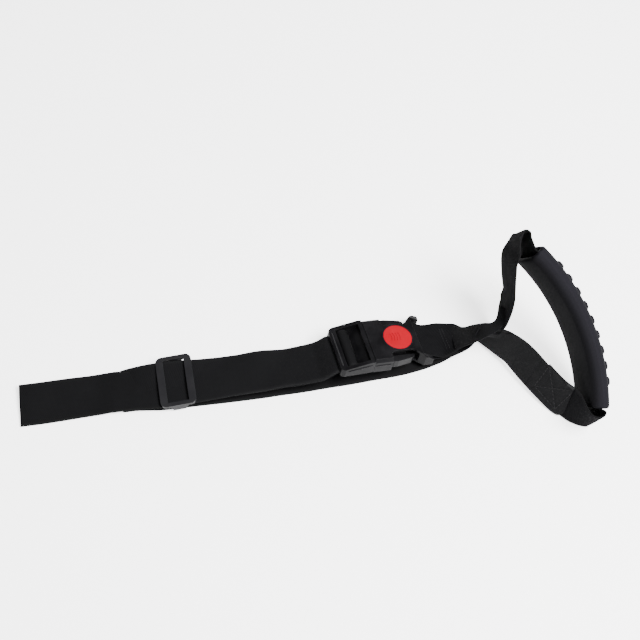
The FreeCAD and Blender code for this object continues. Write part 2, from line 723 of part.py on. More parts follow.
tail_end = driving_sizes["tail_end"]
tail_lean = [slider_across, slider_across, Vector(0.0, 0.99, 0.10), Vector(-0.02, 0.99, 0.12)]
tail = run([tail_run[-1][0], Vector(-250.0, -7.4, 5.0), Vector(-259.0, -8.2, 3.4), Vector(-270.0, -9.0, 2.8),
            Vector(-290.0, -9.8, 2.8), Vector(tail_end, -9.6, 3.0)], tail_lean)[1:]
strap_line = strap_leg + strap_band + under + on_floor + fold_stations + front_run + wrap + tail_run[1:] + tail
add_shape("main_strap", ribbon(strap_line, driving_sizes["webbing_width"], web))

# handle webbing: from under the box of stitches round the bottom turn, through the grip, over the peak,
# down the upper leg and the band, round the housing's bar and back under itself
half_turn = half_angle + 0.2
grip_down = grip_turn.multVec(Vector(0, 0, -1))


def in_grip(angle):
    angle = math.radians(angle)
    radius = driving_sizes["grip_radius"]
    return (grip_lay.multVec(Vector(radius * math.cos(angle), radius * math.sin(angle), 0)), grip_down)


grip_run = [in_grip(-half_turn + 2 * half_turn * step / 10) for step in range(11)]
start = leg[-5:]
bottom_turn = route([(start[-1][0], start[-1][1]), (Vector(131.2, -91.4, 19.2), Vector(-0.28, 0.05, -0.96)),
                     (Vector(135.4, -98.2, 19.4), Vector(-0.12, 0.12, -0.98)),
                     (Vector(139.8, -104.0, 19.4), Vector(0.04, 0.2, -0.975)),
                     (Vector(143.8, -106.2, 19.5), Vector(0.1, 0.27, -0.955)),
                     (Vector(146.0, -104.2, 19.9), Vector(0.1, 0.33, -0.935)),
                     (Vector(145.4, -100.4, 21.2), Vector(-0.03, 0.42, -0.905)),
                     (grip_run[0][0], grip_down)], 2.5)[1:-1]
band_out = layered(band[::-1], -step_up)
band_out[0] = (band_out[0][0] + Vector(0.1, 1.8, 0.8), band_out[0][1])
peak = route([(grip_run[-1][0], grip_down), (Vector(105.2, 20.4, 101.4), Vector(-0.13, 0.5, -0.85)),
              (Vector(103.0, 26.6, 107.2), Vector(-0.09, 0.49, -0.87)),
              (Vector(100.4, 29.6, 110.0), Vector(-0.15, 0.49, -0.86)),
              (Vector(97.4, 27.2, 108.8), Vector(-0.1, 0.51, -0.86)),
              (Vector(94.0, 22.0, 105.6), Vector(-0.1, 0.58, -0.8)),
              (Vector(91.8, 16.6, 99.5), Vector(-0.07, 0.72, -0.69)),
              (Vector(91.0, 12.6, 90.5), Vector(-0.06, 0.82, -0.56)),
              (Vector(91.0, 8.4, 80.0), Vector(-0.05, 0.9, -0.42)),
              (Vector(91.4, 3.6, 68.0), Vector(-0.02, 0.94, -0.33)),
              (Vector(90.6, -2.0, 51.0), Vector(0.12, 0.94, -0.31)),
              (Vector(88.2, -2.8, 37.6), Vector(0.1, 0.9, -0.42)),
              (Vector(84.4, -4.0, 28.0), Vector(-0.08, 0.76, -0.64)),
              (band_out[0][0], band[-1][1])], 3.0)[1:-1]
loop_left = plain(bar_front)
loop = [at(buckle_lay, plain(bar_back) + 1.5, bar_web_top), at(buckle_lay, plain(bar_front) + 0.8, bar_web_top)]
loop += bend(buckle_lay, (loop_left + 0.8, (bar_web_top + bar_web_low) / 2), (bar_web_top - bar_web_low) / 2,
             120, 120, 4)
loop += [at(buckle_lay, plain(bar_front) + 0.8, bar_web_low), at(buckle_lay, plain(bar_back) + 1.5, bar_web_low)]
handle_line = start + bottom_turn + grip_run + peak + band_out + loop + band[:3]
add_shape("handle_webbing", ribbon(handle_line, driving_sizes["webbing_width"], web))

document.recompute()


def write(names):
    os.makedirs("parts", exist_ok=True)
    for thing in document.Objects:
        if "Invalid" in thing.State or "Error" in thing.State:
            raise RuntimeError(f"{thing.Name} did not rebuild: {thing.State}")
    for name in names:
        thing = document.getObject(name)
        shape = checked(thing.Shape, name)
        print(name, "solids", len(shape.Solids), "volume", round(shape.Volume, 1), "box",
              [round(value, 1) for value in (shape.BoundBox.XMin, shape.BoundBox.XMax, shape.BoundBox.YMin,
                                             shape.BoundBox.YMax, shape.BoundBox.ZMin, shape.BoundBox.ZMax)])
        shape.exportStep(f"parts/{name}.step")


write(["female_housing", "male_half", "latch_arm_left", "latch_arm_right", "release_button", "button_spring",
       "slider", "grip", "main_strap", "handle_webbing"])
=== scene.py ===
# Grab strap: woven straps, a side-release buckle, a slider and a moulded grip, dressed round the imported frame
import itertools
import math

import bmesh
import bpy
from mathutils import Matrix, Vector, noise


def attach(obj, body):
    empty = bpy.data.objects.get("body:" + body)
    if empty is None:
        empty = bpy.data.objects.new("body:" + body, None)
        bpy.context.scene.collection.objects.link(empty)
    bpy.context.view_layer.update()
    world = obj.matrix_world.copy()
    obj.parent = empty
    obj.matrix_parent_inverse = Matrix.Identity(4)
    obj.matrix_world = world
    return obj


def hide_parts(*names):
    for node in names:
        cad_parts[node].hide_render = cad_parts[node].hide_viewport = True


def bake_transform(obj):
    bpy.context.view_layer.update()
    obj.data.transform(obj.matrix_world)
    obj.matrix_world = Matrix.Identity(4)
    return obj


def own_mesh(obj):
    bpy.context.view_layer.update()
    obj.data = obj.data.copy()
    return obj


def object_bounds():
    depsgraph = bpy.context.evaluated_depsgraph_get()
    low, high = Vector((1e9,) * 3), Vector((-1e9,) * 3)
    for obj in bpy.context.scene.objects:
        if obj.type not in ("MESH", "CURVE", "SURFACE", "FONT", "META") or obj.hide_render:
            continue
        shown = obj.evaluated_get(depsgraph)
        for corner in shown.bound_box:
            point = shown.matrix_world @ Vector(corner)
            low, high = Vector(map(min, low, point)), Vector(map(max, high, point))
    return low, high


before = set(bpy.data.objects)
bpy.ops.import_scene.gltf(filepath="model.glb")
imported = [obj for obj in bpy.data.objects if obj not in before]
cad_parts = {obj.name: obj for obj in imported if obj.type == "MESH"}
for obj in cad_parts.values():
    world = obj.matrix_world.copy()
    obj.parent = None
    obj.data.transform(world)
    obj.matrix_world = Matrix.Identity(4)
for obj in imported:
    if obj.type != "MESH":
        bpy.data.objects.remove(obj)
cadBox = [list(corner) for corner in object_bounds()]
print("frame loaded:", len(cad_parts), "nodes")

# camera, floor and light
view = {
    "place": (-0.06488, -0.47805, 0.96354),
    "turn": (30.0, 0.0, -9.0),
    "lens": 70.875,
    "sensor": 36.0,
}
studio = {
    "floorColour": (0.95, 0.95, 0.955, 1.0),
    "floorMottle": (0.92, 0.92, 0.93, 1.0),
    "floorSize": 6.0,
    "floorGap": 0.0001,
    "skyColour": (1.0, 1.0, 1.0, 1.0),
    "skyStrength": 0.5,
    "floorGlow": 2.2,
    "lamps": {  # name: (place, width, watts)
        "keyRight": ((0.75, -0.5, 1.5), 0.8, 118.0),
        "leftEdge": ((-1.3, 0.7, 0.7), 0.5, 1.0),
    },
}


def makeCamera():
    lens = bpy.data.cameras.new("camera")
    lens.lens = view["lens"]
    lens.sensor_width = view["sensor"]
    camera = bpy.data.objects.new("camera", lens)
    camera.location = view["place"]
    camera.rotation_euler = [math.radians(angle) for angle in view["turn"]]
    bpy.context.collection.objects.link(camera)
    bpy.context.scene.camera = camera


def makeLamps():
    world = bpy.data.worlds.new("studio")
    world.use_nodes = True
    background = world.node_tree.nodes["Background"]
    background.inputs["Color"].default_value = studio["skyColour"]
    background.inputs["Strength"].default_value = studio["skyStrength"]
    bpy.context.scene.world = world
    for name, (place, width, watts) in studio["lamps"].items():
        lamp = bpy.data.lights.new(name, "AREA")
        lamp.size = width
        lamp.energy = watts
        thing = bpy.data.objects.new(name, lamp)
        thing.location = place
        thing.rotation_euler = (-Vector(place)).to_track_quat("-Z", "Y").to_euler()
        bpy.context.collection.objects.link(thing)


# shader building: one class for sockets, one for materials
class Wire:
    def __init__(self, finish, socket):
        self.finish = finish
        self.socket = socket

    def maths(self, operation, *values):
        return self.finish.node("Math", {"operation": operation}, dict(enumerate(values)))

    def __add__(self, other):
        return self.maths("ADD", self, other)

    __radd__ = __add__

    def __sub__(self, other):
        return self.maths("SUBTRACT", self, other)

    def __rsub__(self, other):
        return self.maths("SUBTRACT", other, self)

    def __mul__(self, other):
        return self.maths("MULTIPLY", self, other)

    __rmul__ = __mul__

    def __truediv__(self, other):
        return self.maths("DIVIDE", self, other)

    def sine(self):
        return self.maths("SINE", self)

    def size(self):
        return self.maths("ABSOLUTE", self)

    def whole(self):
        return self.maths("FLOOR", self)

    def power(self, exponent):
        return self.maths("POWER", self, exponent)

    def clamped(self, low, high):
        return self.finish.node("Clamp", {}, {"Value": self, "Min": low, "Max": high})


class Finish:
    def __init__(self, name, **settings):
        self.material = bpy.data.materials.new(name)
        self.material.use_nodes = True
        self.tree = self.material.node_tree
        self.shader = self.tree.nodes["Principled BSDF"]
        for socket, value in settings.items():
            self.shader.inputs[socket.replace("_", " ")].default_value = value

    def node(self, kind, settings, values, output=0):
        made = self.tree.nodes.new("ShaderNode" + kind)
        for name, value in settings.items():
            if name == "stops":
                for stop, (place, colour) in zip(made.color_ramp.elements, value):
                    stop.position = place
                    stop.color = colour
            else:
                setattr(made, name, value)
        for name, value in values.items():
            if isinstance(value, Wire):
                self.tree.links.new(value.socket, made.inputs[name])
            else:
                made.inputs[name].default_value = value
        return Wire(self, made.outputs[output])

    def feed(self, **wires):
        for socket, wire in wires.items():
            self.tree.links.new(wire.socket, self.shader.inputs[socket.replace("_", " ")])

    def place(self):
        return self.node("TexCoord", {}, {}, "Object")

    def cloud(self, place, scale, detail=4.0, roughness=0.55):
        return self.node("TexNoise", {}, {"Vector": place, "Scale": scale, "Detail": detail,
                                          "Roughness": roughness})

    def blend(self, amount, first, second):
        return self.node("Mix", {"data_type": "RGBA"}, {"Factor": amount, 6: first, 7: second}, 2)

    def bump(self, height, strength, distance, normal=None):
        values = {"Height": height, "Strength": strength, "Distance": distance}
        if normal:
            values["Normal"] = normal
        return self.node("Bump", {}, values)

    def softEdges(self, radius):
        return self.node("Bevel", {"samples": 6}, {"Radius": radius})


webbingLook = {
    "dark": (0.0022, 0.0022, 0.0024, 1.0),
    "light": (0.0074, 0.0074, 0.0080, 1.0),
    "fray": (0.0095, 0.0095, 0.0100, 1.0),
    "selvedge": 0.0178,    # distance of the woven edge from the middle
    "weaves": {  # in metres: width of a rib of yarns, length of a float, depth of the ribs
        "satinWebbing": {"warp": 0.00095, "pick": 0.0016, "ribDepth": 0.00022, "roughness": 0.74},
        "ribbedWebbing": {"warp": 0.00125, "pick": 0.0022, "ribDepth": 0.0005, "roughness": 0.9, "tint": 1.15,
                          "gloss": 0.008},
    },
}


def makeWebbing(name, warp, pick, ribDepth, roughness, tint=1.0, gloss=0.03):
    # woven ribs from the strap's own lengths along and across
    finish = Finish(name, Roughness=roughness, Specular_IOR_Level=gloss)
    along = finish.node("Attribute", {"attribute_name": "along"}, {}, "Fac")
    across = finish.node("Attribute", {"attribute_name": "across"}, {}, "Fac")
    column = across / warp
    row = along / pick + column.whole() * 0.25
    rib = ((column * math.pi).sine().size()).power(0.6)
    flow = (row * (2 * math.pi)).sine() * 0.5 + 0.5
    weave = rib * (flow * 0.45 + 0.55)
    patches = finish.cloud(finish.place(), 38.0, 5.0)
    yarns = finish.cloud(finish.node("CombineXYZ", {}, {"X": along * 90.0, "Y": across * 1500.0}), 1.0, 3.0)
    edge = (across.size() / webbingLook["selvedge"]).power(24.0).clamped(0.0, 1.0)
    tone = (weave * 0.55 + patches * 0.35 + yarns * 0.35 - 0.22).clamped(0.0, 1.0)
    colour = finish.blend(tone, *([value * tint for value in webbingLook[shade][:3]] + [1.0]
                                for shade in ("dark", "light")))
    colour = finish.blend(edge * 0.35, colour, webbingLook["fray"])
    height = weave + yarns * 0.35
    finish.feed(Base_Color=colour, Roughness=(yarns * 0.16 + patches * 0.14 + (roughness - 0.14)).clamped(0.2, 1.0),
                Normal=finish.bump(height, 0.85, ribDepth))
    return finish.material


plasticLook = {
    "edge": 0.00035,      # how far the corners look rounded
    "grainDepth": 0.00006,
    "kinds": {
        "buckle": {"name": "bucklePlastic", "colour": (0.0031, 0.0030, 0.0034, 1.0),
                   "wornAndHighlit": (0.0300, 0.0295, 0.0320, 1.0), "grain": 0.5, "roughness": 0.34, "specular": 0.04},
        "slider": {"name": "sliderPlastic", "colour": (0.0092, 0.0091, 0.0100, 1.0),
                   "wornAndHighlit": (0.0300, 0.0295, 0.0320, 1.0), "grain": 0.5, "roughness": 0.4, "specular": 0.04},
        "button": {"name": "buttonRed", "colour": (0.25, 0.0001, 0.0065, 1.0),
                   "wornAndHighlit": (0.40, 0.012, 0.026, 1.0), "grain": 0.4, "roughness": 0.5, "specular": 0.05},
        # painted highlight: the lighter colour of the tube along the end bar's top edge stands in for light caught
        # there
        "crest": {"name": "crestHighlightPlastic", "colour": (0.0110, 0.0110, 0.0120, 1.0),
                  "wornAndHighlit": (0.0300, 0.0300, 0.0320, 1.0), "grain": 0.3, "roughness": 0.3, "specular": 0.3},
    },
}


def makePlastic(name, colour, wornAndHighlit, grain, roughness, specular):
    # moulded plastic: fine spark-eroded grain, rounded edges, and corners coloured lighter: partly handling wear,
    # partly a painted highlight along the edges
    finish = Finish(name, Specular_IOR_Level=specular)
    place = finish.place()
    soft = finish.softEdges(plasticLook["edge"])
    plainNormal = finish.node("NewGeometry", {}, {}, "Normal")
    corner = finish.node("VectorMath", {"operation": "DOT_PRODUCT"}, {0: soft, 1: plainNormal}, "Value")
    # painted highlight along the rounded corners, together with real handling wear: the corners are coloured lighter
    wearAndHighlight = ((1.0 - corner) * 3.0).clamped(0.0, 1.0)
    fine = finish.cloud(place, 2600.0, 2.0)
    broad = finish.cloud(place, 60.0, 5.0)
    tint = finish.blend((broad - 0.4).clamped(0.0, 1.0) * 0.5 + wearAndHighlight * 0.6, colour, wornAndHighlit)
    finish.feed(Base_Color=tint,
                Roughness=(broad * 0.16 + fine * 0.08 + (roughness - 0.12) - wearAndHighlight * 0.08).clamped(0.1, 1.0),
                Normal=finish.bump(fine, grain, plasticLook["grainDepth"], soft))
    return finish.material


rubberLook = {
    "deep": (0.0074, 0.0071, 0.0088, 1.0),
    "dusty": (0.0110, 0.0106, 0.0128, 1.0),
    "concaveShade": (0.0045, 0.0044, 0.0050, 1.0),      # painted shade: the concave inner face is coloured darker, standing in for the shade it lies in
    "gloss": 0.007,
    "edge": 0.0007,
    "grainDepth": 0.00009,
}


def makeRubber(name):
    finish = Finish(name, Specular_IOR_Level=rubberLook["gloss"])
    place = finish.place()
    soft = finish.softEdges(rubberLook["edge"])
    grainy = finish.cloud(place, 1900.0, 2.5)
    broad = finish.cloud(place, 24.0, 4.0)
    dust = finish.cloud(place, 420.0, 6.0)
    # painted shade: the concaveShade attribute darkens the grip's concave inner face
    concaveShade = finish.node("Attribute", {"attribute_name": "concaveShade"}, {}, "Fac")
    tint = finish.blend((broad * 0.6 + dust * 0.4 - 0.3).clamped(0.0, 1.0), rubberLook["deep"], rubberLook["dusty"])
    tint = finish.blend(concaveShade, tint, rubberLook["concaveShade"])
    finish.feed(Base_Color=tint, Roughness=(0.46 + broad * 0.14 + grainy * 0.06).clamped(0.0, 1.0),
                Normal=finish.bump(grainy, 0.35, rubberLook["grainDepth"], soft))
    return finish.material


steelLook = {"dull": (0.36, 0.36, 0.37, 1.0), "bright": (0.62, 0.62, 0.63, 1.0)}
threadLook = {"dark": (0.0045, 0.0045, 0.0050, 1.0), "light": (0.0125, 0.0125, 0.0135, 1.0)}


def makeSteel(name):
    finish = Finish(name, Metallic=1.0)
    drawn = finish.cloud(finish.place(), 900.0, 3.0)
    finish.feed(Base_Color=finish.blend(drawn, steelLook["dull"], steelLook["bright"]),
                Roughness=drawn * 0.2 + 0.2, Normal=finish.bump(drawn, 0.2, 0.00003))
    return finish.material


def makeThread(name):
    finish = Finish(name, Roughness=0.6, Specular_IOR_Level=0.1)
    twist = finish.cloud(finish.place(), 2400.0, 2.0)
    finish.feed(Base_Color=finish.blend(twist, threadLook["dark"], threadLook["light"]),
                Normal=finish.bump(twist, 0.6, 0.0001))
    return finish.material


def makeFloor():
    finish = Finish("paleFloor", Roughness=0.75, Specular_IOR_Level=0.2, Emission_Color=(1.0, 1.0, 1.0, 1.0),
                    Emission_Strength=studio["floorGlow"])
    mottle = finish.cloud(finish.place(), 3.0, 2.0)
    finish.feed(Base_Color=finish.blend(mottle * 0.15, studio["floorColour"], studio["floorMottle"]))
    return finish.material


looks = {
    **{name: makeWebbing(name, **weave) for name, weave in webbingLook["weaves"].items()},
    **{name: makePlastic(**kind) for name, kind in plasticLook["kinds"].items()},
    "rubber": makeRubber("gripRubber"),
    "steel": makeSteel("springSteel"),
    "thread": makeThread("sewingThread"),
    "floor": makeFloor(),
}
print("materials made:", len(looks))


# what every piece is made with
def skin(mesh, rings, capped=True):
    # faces between one ring of corners and the next, and over both ends
    for low, high in zip(rings, rings[1:]):
        for index in range(len(low)):
            following = (index + 1) % len(low)
            mesh.faces.new((low[index], low[following], high[following], high[index]))
    if capped:
        mesh.faces.new(rings[0][::-1])
        mesh.faces.new(rings[-1])


def addTube(mesh, points, radii, sides=7, closed=False):
    askew = Vector((0.31, 0.17, 0.93))      # a way that no tube here runs
    rings = []
    for index, point in enumerate(points):
        before, after = index - 1, index + 1
        if closed:
            after %= len(points)
        way = (points[min(after, len(points) - 1)] - points[before if closed else max(before, 0)]).normalized()
        aside = way.cross(askew).normalized()
        up = way.cross(aside)
        rings.append([mesh.verts.new(point + (aside * math.cos(turn) + up * math.sin(turn)) * radii[index])
                      for turn in (2 * math.pi * side / sides for side in range(sides))])
    if closed:
        rings.append(rings[0])
    skin(mesh, rings, capped=not closed)


def finishPiece(name, mesh, look, smooth=True):
    data = bpy.data.meshes.new(name)
    mesh.to_mesh(data)
    mesh.free()
    for face in data.polygons:
        face.use_smooth = smooth
    piece = bpy.data.objects.new(name, data)
    bpy.context.collection.objects.link(piece)
    data.materials.append(looks[look])
    return piece


# the straps: their lines are read from the frame's own webbing, then smoothed and given a woven cross-section
strapShape = {
    "thick": 0.0014,
    "width": 0.038,
    "step": 0.0018,        # spacing of the finished rows, metres
    "columns": 26,
    "edge": ((0.0, 0.35), (0.008, 0.82), (0.03, 1.0)),      # (share of the width, share of the thickness)
    "ripple": 0.0003,      # how far the cloth wanders from the true line
    "rippleScale": 42.0,
    "rippleShifts": ((0.0, 0.0, 0.0), (31.7, 11.3, 5.9), (7.1, 43.9, 23.3)),
    "freeRuns": ((-0.2300, -0.1330), (-0.0850, 0.0150)),    # where it hangs free, along X
    "easing": 300,
}


def ringsOf(node, start):
    # the four corners of every station, from the end that is nearest to start
    mesh = bmesh.new()
    mesh.from_mesh(node.data)
    bmesh.ops.remove_doubles(mesh, verts=mesh.verts, dist=2e-6)
    layer = sorted(mesh.verts, key=lambda corner: (corner.co - start).length)[:4]
    seen = set()
    rings = []
    while layer:
        rings.append([corner.co.copy() for corner in layer])
        seen.update(layer)
        layer = list({edge.other_vert(corner) for corner in layer for edge in corner.link_edges} - seen)
    mesh.free()
    return rings


def stationsOf(node, start):
    # pairs of points, on the near and the far edge of the webbing
    rings = ringsOf(node, start)
    first = rings[0][0]
    beside, across, diagonal = sorted(rings[0][1:], key=lambda corner: (corner - first).length)
    previous = [first, across, diagonal, beside]
    stations = []
    for ring in rings:
        previous = min(itertools.permutations(ring),
                       key=lambda order: sum((a - b).length_squared for a, b in zip(order, previous)))
        stations.append(((previous[0] + previous[3]) / 2, (previous[1] + previous[2]) / 2))
    return stations


def tangentsOf(points):
    tangents = []
    for index, point in enumerate(points):
        if index == 0:
            tangents.append((points[1] - point).normalized())
        elif index == len(points) - 1:
            tangents.append((point - points[-2]).normalized())
        else:
            into, out = point - points[index - 1], points[index + 1] - point
            mixed = into / into.length * out.length + out / out.length * into.length
            tangents.append(mixed / (into.length + out.length))
    return tangents


def smoothed(points, counts):
    # a smooth line through the points, with counts[i] steps in each gap
    tangents = tangentsOf(points)
    line = []
    for index, steps in enumerate(counts):
        a, b = points[index], points[index + 1]
        reach = (b - a).length
        for step in range(steps):
            t = step / steps
            line.append(a * (2 * t**3 - 3 * t**2 + 1) + tangents[index] * reach * (t**3 - 2 * t**2 + t)
                        + b * (3 * t**2 - 2 * t**3) + tangents[index + 1] * reach * (t**3 - t**2))
    line.append(points[-1].copy())
    return line


def eased(line):
    # the free runs of the strap hang in one smooth sweep: only the sideways wave is taken out
    for low, high in strapShape["freeRuns"]:
        for _ in range(strapShape["easing"]):
            ys = [point.y for point in line]
            for index in range(1, len(line) - 1):
                if low < line[index].x < high:
                    line[index].y = (ys[index - 1] + ys[index + 1]) / 2
    return line


def strapRows(stations, free=False):
    # finished rows: near edge, far edge and the length run so far
    counts = []
    for (nearA, farA), (nearB, farB) in zip(stations, stations[1:]):
        reach = max((nearB - nearA).length, (farB - farA).length)
        counts.append(max(1, round(reach / strapShape["step"])))
    near = smoothed([pair[0] for pair in stations], counts)
    far = smoothed([pair[1] for pair in stations], counts)
    if free:
        near, far = eased(near), eased(far)
    rows = []
    run = 0.0
    for index, (a, b) in enumerate(zip(near, far)):
        if index:
            run += ((a + b) / 2 - (near[index - 1] + far[index - 1]) / 2).length
        rows.append((a, b, run))
    return rows


def wander(point):
    # plain noise at three places, because Blender's vector noise changes from run to run
    place = point * strapShape["rippleScale"]
    return Vector([noise.noise(place + Vector(shift)) for shift in strapShape["rippleShifts"]]) * strapShape["ripple"]


def strapMesh(name, rows, look):
    # a closed band of cloth: a top and a bottom face with thinner, rounded woven edges
    gaps = strapShape["columns"] - 4
    half = strapShape["thick"] / 2
    edge = strapShape["edge"]
    inner = edge[-1][0]
    shares = [share for share, depth in edge]
    shares += [inner + (1 - 2 * inner) * step / gaps for step in range(1, gaps)]
    shares += [1 - share for share, depth in edge[::-1]]
    depths = [depth for share, depth in edge]
    depths += [1.0] * (gaps - 1) + depths[::-1]
    grid = [[a.lerp(b, share) for share in shares] for a, b, run in rows]
    mesh = bmesh.new()
    along = mesh.verts.layers.float.new("along")
    across = mesh.verts.layers.float.new("across")
    rings = []
    for index, (a, b, run) in enumerate(rows):
        before, after = grid[max(index - 1, 0)], grid[min(index + 1, len(rows) - 1)]
        middleWay = (after[len(shares) // 2] - before[len(shares) // 2]).normalized()
        width = (a - b).length
        top, bottom = [], []
        for column, share in enumerate(shares):
            way = (after[column] - before[column]) + middleWay * 0.002      # steadies it at tight folds
            normal = way.cross(b - a).normalized()
            point = grid[index][column] + wander(grid[index][column])
            for side, line in ((1, top), (-1, bottom)):
                corner = mesh.verts.new(point + normal * half * depths[column] * side)
                corner[along] = run
                corner[across] = (share - 0.5) * width
                line.append(corner)
        rings.append(top + bottom[::-1])
    skin(mesh, rings)
    bmesh.ops.recalc_face_normals(mesh, faces=mesh.faces)
    return finishPiece(name, mesh, look)


def lengthOf(rows):
    return rows[-1][2]


strapEnds = {
    "mainStart": (0.2113, -0.0486, 0.0208),     # end on the lower leg
    "handleStart": (0.1917, -0.0186, 0.0206),   # hidden end under the lower leg
}

mainStations = stationsOf(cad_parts["main_strap"], Vector(strapEnds["mainStart"]))
handleStations = stationsOf(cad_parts["handle_webbing"], Vector(strapEnds["handleStart"]))
print("stations:", len(mainStations), len(handleStations))
# edges laid a few millimetres off the frame's coarse line: (strap, edge): {station from the end: point}
mends = {
    ("main", 0): {12: (0.1541, 0.0412, 0.0019), 13: (0.1455, 0.0423, 0.0015)},
    ("handle", 0): {
        35: (0.1863, 0.0747, 0.0925), 36: (0.1843, 0.0742, 0.0937), 37: (0.1831, 0.0728, 0.0936),
        38: (0.1818, 0.0715, 0.0929), 39: (0.1807, 0.0703, 0.0919), 40: (0.1794, 0.0691, 0.0913),
        41: (0.1784, 0.0681, 0.0909), 42: (0.1775, 0.0673, 0.0904), 43: (0.1766, 0.0665, 0.0898),
        44: (0.1758, 0.0658, 0.0890), 45: (0.1751, 0.0652, 0.0873), 46: (0.1745, 0.0646, 0.0854),
        47: (0.1743, 0.0641, 0.0826), 48: (0.1742, 0.0632, 0.0797), 66: (0.1766, 0.0497, 0.0340),
        67: (0.1759, 0.0484, 0.0305), 68: (0.1753, 0.0470, 0.0270), 69: (0.1747, 0.0451, 0.0235),
        70: (0.1744, 0.0431, 0.0185), 71: (0.1738, 0.0405, 0.0135), 72: (0.1723, 0.0373, 0.0090),
        75: (0.1525, 0.0410, 0.0053), 76: (0.1440, 0.0414, 0.0052),
    },
    ("handle", 1): {
        16: (0.2319, -0.0758, 0.0382), 17: (0.2340, -0.0744, 0.0384), 18: (0.2349, -0.0722, 0.0387),
        19: (0.2339, -0.0709, 0.0390), 41: (0.1802, 0.0431, 0.1184), 42: (0.1800, 0.0400, 0.1147),
        43: (0.1785, 0.0377, 0.1109),
    },
}
lowered = {"stations": (77, 78, 79, 80, 88, 89, 90, 91), "by": (-0.0004, -0.0026, 0.0)}    # the band's edge sags
for index in lowered["stations"]:
    handleStations[index][0].xyz += Vector(lowered["by"])
for (strapName, edge), points in mends.items():
    for index, point in points.items():
        (mainStations if strapName == "main" else handleStations)[index][edge].xyz = point

lowerShare = 0.62      # the fold lies within this share of the stations, the tail beyond it
foldIndex = min(range(math.ceil(len(mainStations) * lowerShare)), key=lambda index: mainStations[index][0].x)
backRows = strapRows(mainStations[:foldIndex + 1])
frontRows = strapRows(mainStations[foldIndex:], free=True)
handleRows = strapRows(handleStations)
print("lengths:", [round(lengthOf(rows), 4) for rows in (backRows, frontRows, handleRows)])

backStrap = strapMesh("backStrap", backRows, "satinWebbing")
frontStrap = strapMesh("frontStrap", frontRows, "satinWebbing")
handleStrap = strapMesh("handleStrap", handleRows, "ribbedWebbing")
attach(backStrap, "root")
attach(handleStrap, "root")
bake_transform(frontStrap)
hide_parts("main_strap")
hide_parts("handle_webbing")

# the folded, sewn junction: a corner of the leg's webbing, and the band's fold that runs up into the upper leg
cornerFold = {
    "stations": (4, 5, 6, 7, 8),     # of the lower leg
    "stand": (-0.0005, -0.0016, 0.0022),
    "rise": (0.2, 0.35, 0.55, 0.8, 1.0),
    "reach": 0.031,                   # how far it runs on past the last station
    "sag": (0.0, 0.0, -0.0006),
}
bandFold = (
    ((0.1315, 0.0464, 0.0034), (0.1302, 0.0149, 0.0170)),
    ((0.1428, 0.0369, 0.0140), (0.1400, 0.0125, 0.0270)),
    ((0.1475, 0.0313, 0.0260), (0.1491, 0.0113, 0.0340)),
    ((0.1556, 0.0253, 0.0370), (0.1566, 0.0117, 0.0395)),
    ((0.1619, 0.0236, 0.0395), (0.1644, 0.0143, 0.0410)),
    ((0.1658, 0.0255, 0.0420), (0.1696, 0.0173, 0.0435)),
    ((0.1682, 0.0297, 0.0445), (0.1737, 0.0213, 0.0470)),
    ((0.1708, 0.0347, 0.0470), (0.1772, 0.0269, 0.0500)),
)


def foldStations():
    stand = Vector(cornerFold["stand"])
    stations = []
    for index, rise in zip(cornerFold["stations"], cornerFold["rise"]):
        a, b = mainStations[index]
        stations.append((a + stand * rise, b + stand * rise))
    (a0, b0), (a1, b1) = stations[-2:]
    middle, lean = (a1 + b1) / 2, (a1 - b1) / 2
    way = (middle - (a0 + b0) / 2).normalized()
    for step in (1, 2, 3, 4):
        centre = middle + way * cornerFold["reach"] * step / 4 + Vector(cornerFold["sag"]) * step
        stations.append((centre + lean, centre - lean * (1 - step / 4)))
    return stations


for name, stations in (("cornerFold", foldStations()), ("bandFold", [(Vector(a), Vector(b)) for a, b in bandFold])):
    rows = strapRows(stations)
    fold = strapMesh(name, rows, "satinWebbing")
    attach(fold, "root")
    breadth = sum((a - b).length for a, b, run in rows) / len(rows)


# sewing: threads laid on the webbing's face
sewing = {
    "thread": 0.00026,
    "stitch": 0.0036,      # length of a stitch and its gap
    "rest": 0.78,          # share of a stitch that the thread covers
    "box": ((0.2041, -0.0168, 0.0240), (0.2185, -0.0429, 0.0240), (0.1987, -0.0567, 0.0240), (0.1871, -0.0332, 0.0240)),
    "seams": ((0, 1), (1, 2), (2, 3), (3, 0), (0, 2), (1, 3)),      # between the box's corners
    "tacks": (((0.1230, 0.0440, 0.0040), (0.1235, 0.0160, 0.0170)),
              ((0.1255, 0.0440, 0.0040), (0.1262, 0.0160, 0.0170))),
    "bead": 0.0008,        # radius of the melted end
}


def sew(mesh, cloth, start, end):
    # stitches on a straight line, each point let down onto the cloth's upper face
    radius = sewing["thread"]
    start, end, eye = Vector(start), Vector(end), Vector(view["place"])
    count = max(1, round((end - start).length / sewing["stitch"]))
    for number in range(count):
        points = []
        for share, lift in ((0.0, -0.8), (0.2, 0.4), (0.5, 0.8), (0.8, 0.4), (1.0, -0.8)):
            place = start.lerp(end, (number + share * sewing["rest"]) / count)
            hit, at, normal, face = cloth.ray_cast(eye, (place - eye).normalized())
            if hit:
                points.append(at + normal * radius * lift)
        if len(points) == 5:
            addTube(mesh, points, [radius * 0.6, radius, radius, radius, radius * 0.6])


def sealEnd(name, row):
    # the cut end of the webbing, melted to a bead
    mesh = bmesh.new()
    points = [row[0].lerp(row[1], step / 24) for step in range(25)]
    points = [point + wander(point) for point in points]
    bead = sewing["bead"]
    addTube(mesh, points, [bead / 2] + [bead] * 23 + [bead / 2], 10)
    cutEnd = finishPiece(name, mesh, "thread")
    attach(cutEnd, "root")


